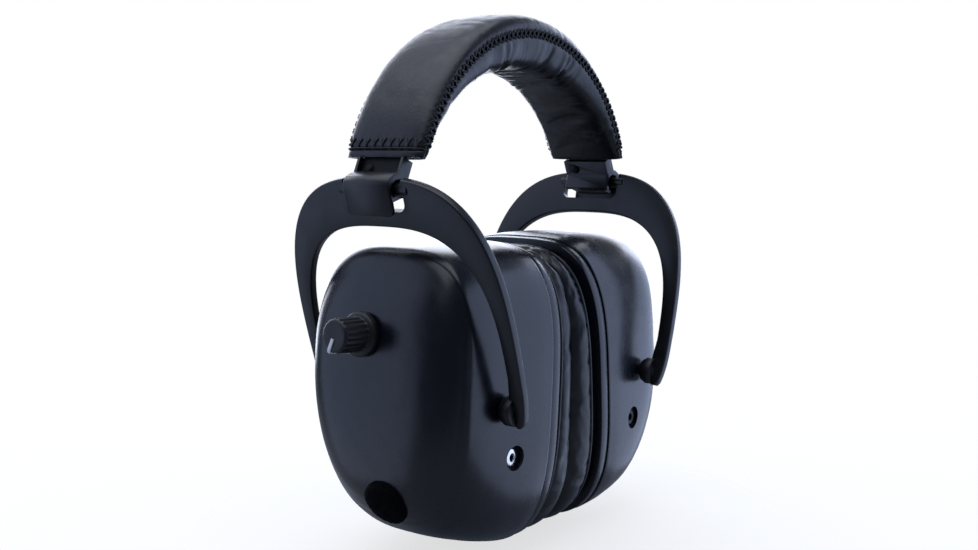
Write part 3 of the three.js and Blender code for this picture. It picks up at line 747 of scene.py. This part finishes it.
def round_slot(half, foot, corner, top, reach):
    """A slot with round lower corners, from one place outward to another."""
    loop = [(half, top)]
    for turn in np.linspace(0, math.pi / 2, 9):
        loop.append((half - corner + corner * math.cos(turn), foot + corner - corner * math.sin(turn)))
    outline = loop + [(-y, z) for y, z in loop[::-1]]
    return solid_loft([np.array([(x, y, z) for y, z in outline]) for x in reach])


# The stepped black boss inside a yoke's tip, as (radius, place along Y), round the pin's hole.
BOSS = [
    (2.3, 36.9), (4.0, 36.9), (4.2, 37.1), (4.4, 37.9), (4.7, 38.1), (4.9, 38.4), (4.9, 41.1), (4.6, 41.5),
    (2.3, 41.6),
]


def make_yoke(side):
    yoke = solid_at(IN_YOKE, yoke_body(), side, name=f"{side}_yoke_arch")
    cut(yoke, IN_YOKE, round_slot(**WINDOW), side)
    bar_end = WINDOW["half"] + 2
    cut(yoke, IN_YOKE, rod(BAR_RADIUS, -bar_end, bar_end, "y", (0, 0, BAR_HEIGHT), 40), side, "UNION")
    for place_along, flip in (("front", 1), ("rear", -1)):
        hole = rod(BOSS_HOLE["radius"], BOSS_HOLE["start"] * flip, BOSS_HOLE["end"] * flip, "y")
        cut(yoke, IN_YOKE, hole, side)
        points, faces = ring_loft(turned([(r, h * flip) for r, h in BOSS], 48))
        boss = solid_at(IN_YOKE, (points[:, (1, 0, 2)], faces), side, 40, f"{side}_{place_along}_boss")
        dress(boss, f"{side}_yoke", RUBBER, "black_rubber")
    smooth(yoke, crease=34)
    dress(yoke, f"{side}_yoke", YOKE, "yoke_plastic")
    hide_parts(f"{side}_yoke")


# -------------------- clip over the hinge bar
CLIP_HALF_WIDTH = 9.8
# Section of the hook, (outward, up) in the yoke's frame: over the bar and down to the tongue's foot,
# then back up inside it and down the inner plate.
HOOK_OUTLINE = [
    (-5.2, 69.4), (-5.2, 75.0), (-4.7, 76.9), (-3.2, 77.9), (0.4, 78.2), (2.4, 77.8), (3.8, 76.8),
    (4.6, 75.2), (4.75, 73.4), (4.7, 66.4), (4.5, 65.6), (4.0, 65.2), (3.5, 65.3), (3.25, 65.9),
    (2.95, 71.4), (2.75, 73.8), (2.0, 75.2), (0.6, 75.9), (-1.0, 75.8), (-2.6, 75.1), (-3.4, 73.9),
    (-3.5, 71.4), (-3.1, 70.7), (-2.7, 70.2), (-2.7, 69.3), (-3.1, 69.0), (-4.8, 69.0),
]
# Distance from the hook's side and how far the section pulls in there.
HOOK_ROUNDING = ((0.0, 0.42), (0.12, 0.2), (0.42, 0.0))
# The tongue keeps to this slot, and the rest of the hook to this block.
TONGUE = {"half": CLIP_HALF_WIDTH + 0.3, "foot": 64.9, "corner": 3.5, "top": 95, "reach": (-2, 12)}
INNER_PLATE = ((-9, -14, 60), (-1.9, 14, 95))
BRIDGE = ((-3, -7.5, 69), (4, 7.5, 70.4))
STRAP_ROOM = ((-0.9, -8.8, -10.3), (0.9, 8.8, 2))
# Radius, and start and end outward, of the rivet's hole and of the room for its head.
RIVET_ROOM = ((1.4, -1, 6), (2.1, -4, -0.8))
CLIP_EDGE = 0.16
RIVET = {"y": 5.0, "z": -6.6}
CLIP_NECK = {"back": -2.4, "front": 2.4, "top": -3.5, "low": -10.4}
SLIDE_UP = -np.array(JOINTS["right_height_slide"]["axis"])
STRAP_MIDDLE = np.array(sum(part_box("right_slider_strap"), Vector())) / 2 / MM
IN_STRAP = local_frame(STRAP_MIDDLE - 5 * SLIDE_UP, SLIDE_UP)


def hook_body():
    """The hook's section, rounded off towards both sides."""
    outline = np.array(HOOK_OUTLINE)
    ahead, behind = np.roll(outline, -1, 0), np.roll(outline, 1, 0)
    normal = unit((ahead - behind)[:, ::-1] * (1, -1))
    stops = [(-CLIP_HALF_WIDTH + step, inset) for step, inset in HOOK_ROUNDING]
    stops += [(CLIP_HALF_WIDTH - step, inset) for step, inset in HOOK_ROUNDING[::-1]]
    rings = []
    for across, inset in stops:
        section = outline + inset * normal
        rings.append(np.column_stack([section[:, 0], np.full(len(section), across), section[:, 1]]))
    return solid_loft(rings)


def make_clip(side):
    clip = solid_at(IN_YOKE, hook_body(), side, name=f"{side}_hook_clip")
    limit = solid_at(IN_YOKE, round_slot(**TONGUE), side)
    cut(limit, IN_YOKE, block(*INNER_PLATE), side, "UNION")
    combine(clip, limit, "INTERSECT")
    half, neck, wall = CLIP_HALF_WIDTH, CLIP_NECK, STRAP_ROOM[1][1]
    walls = [block((neck["back"], -half, neck["low"]), (STRAP_ROOM[0][0], half, neck["top"]))]
    for near, far in ((wall, half), (-half, -wall)):
        walls.append(block((neck["back"], near, neck["low"]), (neck["front"], far, neck["top"])))
    for shape in walls:
        cut(clip, IN_STRAP, shape, side, "UNION")
    cut(clip, IN_YOKE, block(*BRIDGE), side, "UNION")
    cut(clip, IN_STRAP, block(*STRAP_ROOM), side)
    for radius, start, end in RIVET_ROOM:
        room = rod(radius, -start, -end, "x", (0, RIVET["y"], RIVET["z"]), 24)
        cut(clip, IN_STRAP, room, side)
    edges = clip.modifiers.new("edges", "BEVEL")
    edges.width = CLIP_EDGE * MM
    edges.segments = 2
    edges.limit_method = "ANGLE"
    edges.angle_limit = math.radians(38)
    apply_modifiers(clip)
    smooth(clip, crease=34)
    dress(clip, f"{side}_slider", YOKE, "yoke_plastic")
    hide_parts(f"{side}_yoke_clip")


for cup_side in SIDES:
    make_yoke(cup_side)
    make_clip(cup_side)

# -------------------- cup
RING_POINTS = 160


def squircle(half, top, low, n_top, n_low, n_rear, mid, inset, count):
    """A closed outline, with its own squareness above, below in front, and below behind."""
    angles = angles_round(count)
    c, s = np.cos(angles), np.sin(angles)
    n = np.where(s >= 0, n_top, np.where(c < 0, n_rear, n_low))
    height = np.where(s >= 0, top - mid, mid - low) - inset
    r = (np.abs(c) ** n + np.abs(s) ** n) ** (-1 / n)
    return (half - inset) * r * c, mid + height * r * s


def cup_ring(station, inset=0.0, depth=None, count=RING_POINTS):
    d, *outline = station
    forward, up = squircle(*outline, inset, count)
    return np.column_stack([np.full(count, d if depth is None else depth), forward, up])


def ear_ring(half, top, low, depth, count=RING_POINTS):
    return cup_ring((depth, half, top, low, 2.4, 2.4, 2.4, 1), count=count)


SEAM = CUP_STATIONS[0]
# Inset and depth of the rings round the shell's lip, and where the stations take over.
SHELL_LIP = ((0.5, 0.0), (0.12, 0.1), (0.0, 0.5))
LIP_END = 0.8
PIN_HOLE = 2.35
POT_HOLE = 3.9


def cup_shell_body():
    stations = smooth_rows(CUP_STATIONS, 91)
    outer = [cup_ring(station) for station in stations]
    lip = [cup_ring(SEAM, *row) for row in SHELL_LIP]
    lining = stations[:56:5]
    inner = [cup_ring(station, SHELL_WALL, station[0] - 1.5 * min(1, station[0])) for station in lining]
    return solid_loft(inner[::-1] + lip + [ring for ring in outer if ring[0, 0] > LIP_END])


def jack_tools():
    """The socket's shallow recess and its hole, through the rear wall."""
    sizes = ((JACK["recess"], -34.4), (JACK["ring"] + 0.25, -10))
    return [rod(radius, -60, end, "y", (JACK["d"], 0, JACK["v"]), 64) for radius, end in sizes]


def at_mic(shape):
    """A shape round the X axis, moved to stand square on the shell's lower slope."""
    points, faces = shape
    c, s = math.cos(MIC["lean"]), math.sin(MIC["lean"])
    turn = np.array([(c, 0, -s), (0, 1, 0), (s, 0, c)])
    return np.asarray(points) @ turn + np.array((MIC["d"], MIC["y"], MIC["v"])), faces


def make_shell(side):
    shell = solid_at(IN_CUP, cup_shell_body(), side, name=f"{side}_cup_body")
    for tool in jack_tools():
        cut(shell, IN_CUP, tool, side)
    cut(shell, (PIVOT, *IN_CUP[1:]), rod(PIN_HOLE, -60, 60, "y", segments=32), side)
    pot = rod(POT_HOLE, 30, 60, "x", (0, KNOB["y"], KNOB["v"]), 40)
    cut(shell, IN_CUP, pot, side)
    mic = at_mic(rod(MIC["capsule"], -16, 10, "x", segments=40))
    cut(shell, IN_CUP, mic, side)
    smooth(shell, crease=32)
    dress(shell, f"{side}_cup", SHELL, "shell_plastic")
    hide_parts(f"{side}_cup_shell")


# Each plate's piece and node, its shape, and its screw holes' radius and depths.
PLATES = {
    ("rim_plate", "back_plate"): {
        "near": -0.3, "far": -4.8, "inset": 0.35, "hole": (23, 37, -35), "round": 0.55,
        "screws": ((1.6, -10, 5), (2.9, -8, -3.4)),
    },
    ("cushion_ring", "cushion_plate"): {
        "near": -5.1, "far": -7.6, "inset": 3.6, "hole": (22.5, 36.5, -34.5), "round": 0.4,
        "screws": ((3.1, -9, -4),),
    },
}
SCREWS = ((-23, 38), (23, -34))


def ring_plate(plate):
    near, far, inset, corner = plate["near"], plate["far"], plate["inset"], plate["round"]
    outer = [
        (inset + corner, near), (inset + 0.3 * corner, near - 0.3 * corner), (inset, near - corner),
        (inset, far + corner), (inset + 0.3 * corner, far + 0.3 * corner), (inset + corner, far),
    ]
    rings = [cup_ring(SEAM, i, d) for i, d in outer]
    rings += [ear_ring(*plate["hole"], far), ear_ring(*plate["hole"], near)]
    return ring_loft(rings)


def make_plates(side):
    for (piece, node), shape in PLATES.items():
        plate = solid_at(IN_CUP, ring_plate(shape), side, name=f"{side}_{piece}")
        for y, v in SCREWS:
            for hole in shape["screws"]:
                cut(plate, IN_CUP, rod(*hole, "x", (0, y, v), 32), side)
        smooth(plate, crease=40)
        dress(plate, f"{side}_cup", SHELL, "shell_plastic")
        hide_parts(f"{side}_{node}")


# -------------------- ear cushion
CUSHION_BASE = -7.9
CUSHION_FACE = 0.15               # from the middle plane to the cushion's face
CUSHION_INSET = 3.2
EAR_HOLE = (18.5, 32, -30)
# Section from the outer seam over the face to the inner seam: share of the way from the outer
# outline to the ear hole, and from the plate to the face.
CUSHION_SECTION = [
    (0.02, 0.0), (-0.05, 0.10), (-0.115, 0.30), (-0.125, 0.52), (-0.075, 0.76), (0.05, 0.93),
    (0.24, 0.995), (0.5, 1.0), (0.76, 0.985), (0.93, 0.9), (1.03, 0.66), (1.05, 0.38), (1.01, 0.14),
    (0.98, 0.0),
]
CUSHION_STEPS = 240
# Least and most of a pleat's depth, reach up the side, slope and width, and of the spacing.
PLEATS = ((0.4, 0.8), (0.14, 0.4), (-1.4, 1.4), (0.6, 0.95))
PLEAT_SPACING = (2.1, 3.9)


def cushion_grid(side):
    """Rings round the cushion's section; the base follows the cup and the face stands upright."""
    rng = random.Random(31 if side == "right" else 37)
    outer = place(cup_ring(SEAM, CUSHION_INSET, CUSHION_BASE, CUSHION_STEPS), IN_CUP)
    inner = place(ear_ring(*EAR_HOLE, CUSHION_BASE, CUSHION_STEPS), IN_CUP)
    section = smooth_rows(CUSHION_SECTION, 44)
    around = np.concatenate([[0], np.cumsum(np.linalg.norm(np.diff(outer, axis=0), axis=1))])
    length = around[-1] + np.linalg.norm(outer[0] - outer[-1])
    pleats, place_along = [], 0.0
    while place_along < length - 2:
        pleats.append((place_along, *(rng.uniform(*span) for span in PLEATS)))
        place_along += rng.uniform(*PLEAT_SPACING)
    rings = []
    for across, rise in section:
        base = outer + across * (inner - outer)
        point = base.copy()
        point[:, 0] = base[:, 0] + rise * (CUSHION_FACE - base[:, 0])
        relief = np.zeros(CUSHION_STEPS)
        for start, depth, reach_in, slope, width in pleats:
            offset = (around - start - slope * rise + length / 2) % length - length / 2
            fade = math.exp(-((rise / reach_in) ** 2))
            relief -= depth * fade * bell(offset / width)
        outside = 1 - ease(across, 0.1, 0.6)
        point -= unit(inner - outer) * (relief * outside)[:, None]
        rings.append(point)
    return rings


SEWN_RINGS = 2
WORKING_SCALE = 10.0              # the cloth solver works on a larger copy
FILL_FRAMES = 18
FILL_LIMIT = 2.0                  # how far the filling may move the cover
COVER_CLOTH = {
    "quality": 5, "mass": 0.25, "tension_stiffness": 18, "compression_stiffness": 18,
    "shear_stiffness": 6, "bending_stiffness": 0.35, "uniform_pressure_force": 4.0,
}
PIPING_RADIUS = 0.72


def fill_out(cover, sewn):
    """The cover swells over its filling and settles, held along its sewn edges."""
    scene = bpy.context.scene
    shape = np.empty(len(cover.data.vertices) * 3)
    cover.data.vertices.foreach_get("co", shape)
    cover.data.vertices.foreach_set("co", shape * WORKING_SCALE)
    cover.vertex_groups.new(name="sewn").add(sewn, 1.0, "REPLACE")
    step = cover.modifiers.new("filling", "CLOTH")
    cloth = step.settings
    cloth.vertex_group_mass = "sewn"
    cloth.use_pressure = True
    for name, value in COVER_CLOTH.items():
        setattr(cloth, name, value)
    cloth.effector_weights.gravity = 0
    step.collision_settings.use_collision = False
    step.point_cache.frame_start, step.point_cache.frame_end = 1, FILL_FRAMES
    for number in range(1, FILL_FRAMES + 1):
        scene.frame_set(number)
    apply_modifiers(cover)
    scene.frame_set(1)
    filled = np.empty_like(shape)
    cover.data.vertices.foreach_get("co", filled)
    shape = shape.reshape(-1, 3)
    move = filled.reshape(-1, 3) / WORKING_SCALE - shape
    length = np.maximum(np.linalg.norm(move, axis=1), 1e-12)
    limit = FILL_LIMIT * MM
    result = shape + move * (limit * np.tanh(length / limit) / length)[:, None]
    side = np.sign(shape[:, 0].mean())
    result[:, 0] = side * np.maximum(side * result[:, 0], CUSHION_FACE * MM)
    cover.data.vertices.foreach_set("co", result.ravel())
    cover.data.update()


def make_cushion(side):
    rings = cushion_grid(side)
    points, faces = ring_loft(rings)
    cushion = make_object(f"{side}_cushion_cover", points, faces, side)
    last = (len(rings) - SEWN_RINGS) * CUSHION_STEPS
    fill_out(cushion, list(range(SEWN_RINGS * CUSHION_STEPS)) + list(range(last, len(points))))
    dress(cushion, f"{side}_cup", CUSHION_LEATHER, "leather")
    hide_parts(f"{side}_ear_cushion")
    path = cup_ring(SEAM, CUSHION_INSET - 0.5, CUSHION_BASE - 0.55)
    outward = path - np.array((0, 0, 1.0))
    outward[:, 0] = 0
    outward = unit(outward)
    inward = np.array((1.0, 0, 0))
    bead = [path + PIPING_RADIUS * (math.cos(a) * outward + math.sin(a) * inward) for a in angles_round(10)]
    piping = solid_at(IN_CUP, ring_loft(bead), side, name=f"{side}_cushion_piping")
    dress(piping, f"{side}_cup", COVER_LEATHER, "leather")


LINER_STATION = (0, 29, 43, -40, 3.2, 2.8, 2.8, 0)
LINER_PROFILE = ((1, 8), (0, 7.2), (0, 1.4), (0.8, 0.6), (4, 0.35), (12, 0.9))


def make_liner(side):
    body = solid_loft([cup_ring(LINER_STATION, inset, depth) for inset, depth in LINER_PROFILE])
    liner = solid_at(IN_CUP, body, side, 50, f"{side}_foam_pad")
    dress(liner, f"{side}_cup", FOAM, "foam")
    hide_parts(f"{side}_foam_liner")


# -------------------- knob, microphone and socket
KNOB_OFF_ANGLE = 22
FLUTES = 18
FLUTE_DEPTH = 0.42
SHAFT_HOLE = 2.3


def in_knob(points, side):
    """Points given as (along the knob's axis, across, up and away from its pointer)."""
    turn = math.radians(KNOB_OFF_ANGLE) * (1 if side == "right" else -1)
    up = math.cos(turn) * CUP_UP + math.sin(turn) * AXIS_Y
    axes = KNOB_OUT, np.cross(up, KNOB_OUT), up
    points = np.asarray(points, float)
    along, across, rise = (points[:, k:k + 1] * axis for k, axis in enumerate(axes))
    return CUP_ORIGIN + KNOB_IN_CUP + along + across + rise


def fluted_rings():
    """The knob's skirt and fluted cap: round at the skirt and the end, fluted between."""
    skirt, cap, height = KNOB["skirt_radius"], KNOB["cap_radius"], KNOB["height"]
    top = KNOB["skirt"]
    profile = [
        (skirt - 0.35, 0, 0), (skirt, 0.3, 0), (skirt, top - 0.9, 0), (skirt - 0.3, top - 0.35, 0),
        (skirt - 0.9, top - 0.05, 0), (cap + 0.55, top + 0.05, 0), (cap + 0.32, top + 0.25, 0.5),
        (cap + 0.25, top + 0.6, 1), (cap + 0.15, height - 1.1, 1), (cap - 0.05, height - 0.75, 0.4),
        (cap - 0.3, height - 0.4, 0), (cap - 0.65, height - 0.1, 0), (cap - 1.0, height, 0),
        (cap * 0.5, height - 0.12, 0),
    ]
    angles = angles_round(FLUTES * 8)
    wave = 0.5 - 0.5 * np.cos(FLUTES * angles)
    rings = []
    for radius, along, flute in profile:
        rings.append(ring_at(along, radius - FLUTE_DEPTH * flute * wave**1.5, angles))
    return rings


def make_knob(side):
    points, faces = solid_loft(fluted_rings())
    knob = make_object(f"{side}_knob_body", in_knob(points, side), faces, side)
    bore, bore_faces = rod(SHAFT_HOLE, -1, 8.8, "x", segments=32)
    combine(knob, make_object("tool", in_knob(bore, side), bore_faces, side), "DIFFERENCE")
    smooth(knob, crease=38)
    dress(knob, f"{side}_knob", RUBBER, "black_rubber")
    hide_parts(f"{side}_volume_knob")
    cap, height, top = KNOB["cap_radius"], KNOB["height"], KNOB["skirt"]
    # The printed line over the end and the raised rib down the side, with half the depth at each point.
    path = [
        (height + 0.05, 0, -1.1, 0.16), (height + 0.05, 0, -cap + 1.0, 0.16), (height - 0.35, 0, -cap, 0.25),
        (height - 1.2, 0, -cap - 0.3, 0.4), (top + 1.2, 0, -cap - 0.7, 0.5), (top + 0.6, 0, -cap - 0.8, 0.5),
    ]
    rows = smooth_rows(path, 40)
    rows, depths = rows[:, :3], rows[:, 3]
    outward = np.cross(unit(np.gradient(rows, axis=0)), (0, 1, 0))
    section = rounded_rectangle(0.62, 1.0, 0.25, 3)
    width = np.outer(section[:, 0], (0, 1, 0))
    rings = [
        point + width + np.outer(section[:, 1] * depth, normal)
        for point, depth, normal in zip(rows, depths, outward)
    ]
    points, faces = solid_loft(rings)
    line = make_object(f"{side}_knob_line", in_knob(points, side), faces, side, 50)
    dress(line, f"{side}_knob", WHITE, "white_mark")
    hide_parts(f"{side}_knob_pointer")


FOAM_GRAIN = 0.06


def make_windscreen(side):
    """A domed foam plug that stands proud of the shell's lower slope."""
    rng = np.random.default_rng(5 if side == "right" else 6)
    profile = [
        (0.95, -2.9), (1.0, -1.8), (1.0, -0.4), (0.99, 0.6), (0.955, 1.3), (0.88, 1.9), (0.76, 2.35),
        (0.58, 2.65), (0.36, 2.8), (0.14, 2.85),
    ]
    rings = turned([(MIC["radius"] * share, along) for share, along in profile], 72)
    rings = [ring + rng.normal(0, FOAM_GRAIN, ring.shape) for ring in rings]
    screen = solid_at(IN_CUP, at_mic(solid_loft(rings)), side, name=f"{side}_mic_foam")
    dress(screen, f"{side}_cup", FOAM, "foam")
    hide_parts(f"{side}_mic_windscreen")


def make_jack_ring(side):
    profile = [
        (1.75, -30), (JACK["ring"], -30), (JACK["ring"], -34.5), (2.93, -34.75), (2.7, -34.9), (1.5, -34.92),
        (1.3, -34.75), (1.2, -34.4), (1.2, -33.4), (1.75, -33.2),
    ]
    points, faces = ring_loft(turned(profile, 64))
    points = points[:, (1, 0, 2)] + np.array((JACK["d"], 0, JACK["v"]))
    ring = solid_at(IN_CUP, (points, faces), side, 40, f"{side}_jack_rim")
    # The right rim is black rubber where the left one is chrome. This is painted shade for the dark socket on
    # that side.
    look = (CHROME, "chrome") if side == "left" else (RUBBER, "black_rubber")
    dress(ring, f"{side}_cup", *look)
    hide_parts(f"{side}_jack_ring")


CUP_PIECES = (make_shell, make_plates, make_cushion, make_liner, make_knob, make_windscreen, make_jack_ring)
for cup_side in SIDES:
    for make_piece in CUP_PIECES:
        make_piece(cup_side)

# -------------------- looks of the CAD nodes that stay
LOOK_NODES = {
    STEEL: "headband_spring_crown headband_spring_arm upper_plate_screw lower_plate_screw "
    "volume_pot mic_capsule",
    RUBBER: "slider_guide front_pivot_pin rear_pivot_pin speaker battery_tray audio_jack",
    BLACK_STEEL_AND_PAINTED_SHADE: "slider_strap clip_rivet", BOARD: "circuit_board", CELL: "battery",
}
NODE_LOOKS = {name: look for look, names in LOOK_NODES.items() for name in names.split()}
for node_name, node in frame["nodes"].items():
    plain = node_name.removeprefix("right_").removeprefix("left_")
    if plain in NODE_LOOKS:
        node.data.materials.clear()
        node.data.materials.append(NODE_LOOKS[plain])

# -------------------- studio
FLOOR_RADIUS = 0.45
DOME_RADIUS = 5.0


def make_floor():
    """A pale floor that takes a soft shadow near the object and runs out to plain white."""
    bpy.ops.mesh.primitive_circle_add(
        vertices=96, radius=FLOOR_RADIUS, fill_type="NGON", location=(0, 0, CAD_LOW.z - 0.0006),
    )
    floor = bpy.context.active_object
    floor.name = "floor"
    look = Look("pale_floor", 0.8, specular=0.1)
    look.colour(look.noise(6), (0.90, 0.90, 0.90), (0.92, 0.92, 0.92))
    length = look.add("VectorMath", {}, 0)
    length.operation = "LENGTH"
    look.links.new(look.spread(length.outputs["Value"], 0.3, 0.0, 0.08, 0.36), look.shader.inputs["Alpha"])
    floor.data.materials.append(look.material)
    return floor


def make_backdrop():
    """A white surround, seen only by the camera, so that the softboxes alone light the object."""
    bpy.ops.mesh.primitive_uv_sphere_add(segments=48, ring_count=24, radius=DOME_RADIUS, location=(0, 0, 0))
    dome = bpy.context.active_object
    dome.name = "backdrop"
    look = Look("white_backdrop", 1.0, specular=0.0)
    look.set({"Base Color": (0, 0, 0, 1), "Emission Color": (1, 1, 1, 1), "Emission Strength": 1.0})
    dome.data.materials.append(look.material)
    for ray in ("diffuse", "glossy", "transmission", "volume_scatter", "shadow"):
        setattr(dome, f"visible_{ray}", False)
    return dome


def make_world():
    world = bpy.data.worlds.new("studio")
    bpy.context.scene.world = world
    world.use_nodes = True
    background = world.node_tree.nodes["Background"].inputs
    background["Color"].default_value = (0.60, 0.72, 1.0, 1)
    background["Strength"].default_value = 0.14


def make_softbox(name, direction, distance, size, radiance, tint):
    """An area light that faces the object from a direction, given its brightness per area."""
    data = bpy.data.lights.new(name, "AREA")
    data.shape = "RECTANGLE"
    data.size, data.size_y = size
    data.energy = radiance * math.pi * size[0] * size[1]
    data.color = tint
    light = add_object(name, data)
    direction = Vector(direction).normalized()
    light.location = CENTRE + direction * distance
    light.rotation_mode = "QUATERNION"
    light.rotation_quaternion = (-direction).to_track_quat("-Z", "Y")
    light.visible_camera = False


COOL = (0.56, 0.68, 1.0)
PALE = (0.82, 0.87, 1.0)
# Direction, distance, width and height, brightness and tint of each softbox.
SOFTBOXES = {
    "top": ((-0.15, 0.1, 1), 1.0, (1.3, 1.3), 1.95, PALE),
    "behind": ((0.72, 0.66, 0.24), 1.3, (2.6, 1.2), 4.0, PALE),
    "left": ((-0.72, 0.80, 0.10), 1.1, (0.9, 1.5), 0.95, COOL),
    "right": ((0.82, -0.62, 0.05), 1.1, (2.1, 1.6), 1.55, COOL),
}
make_floor()
make_backdrop()
make_world()
for softbox, setting in SOFTBOXES.items():
    make_softbox(f"softbox_{softbox}", *setting)
bpy.context.scene.view_settings.view_transform = "Standard"
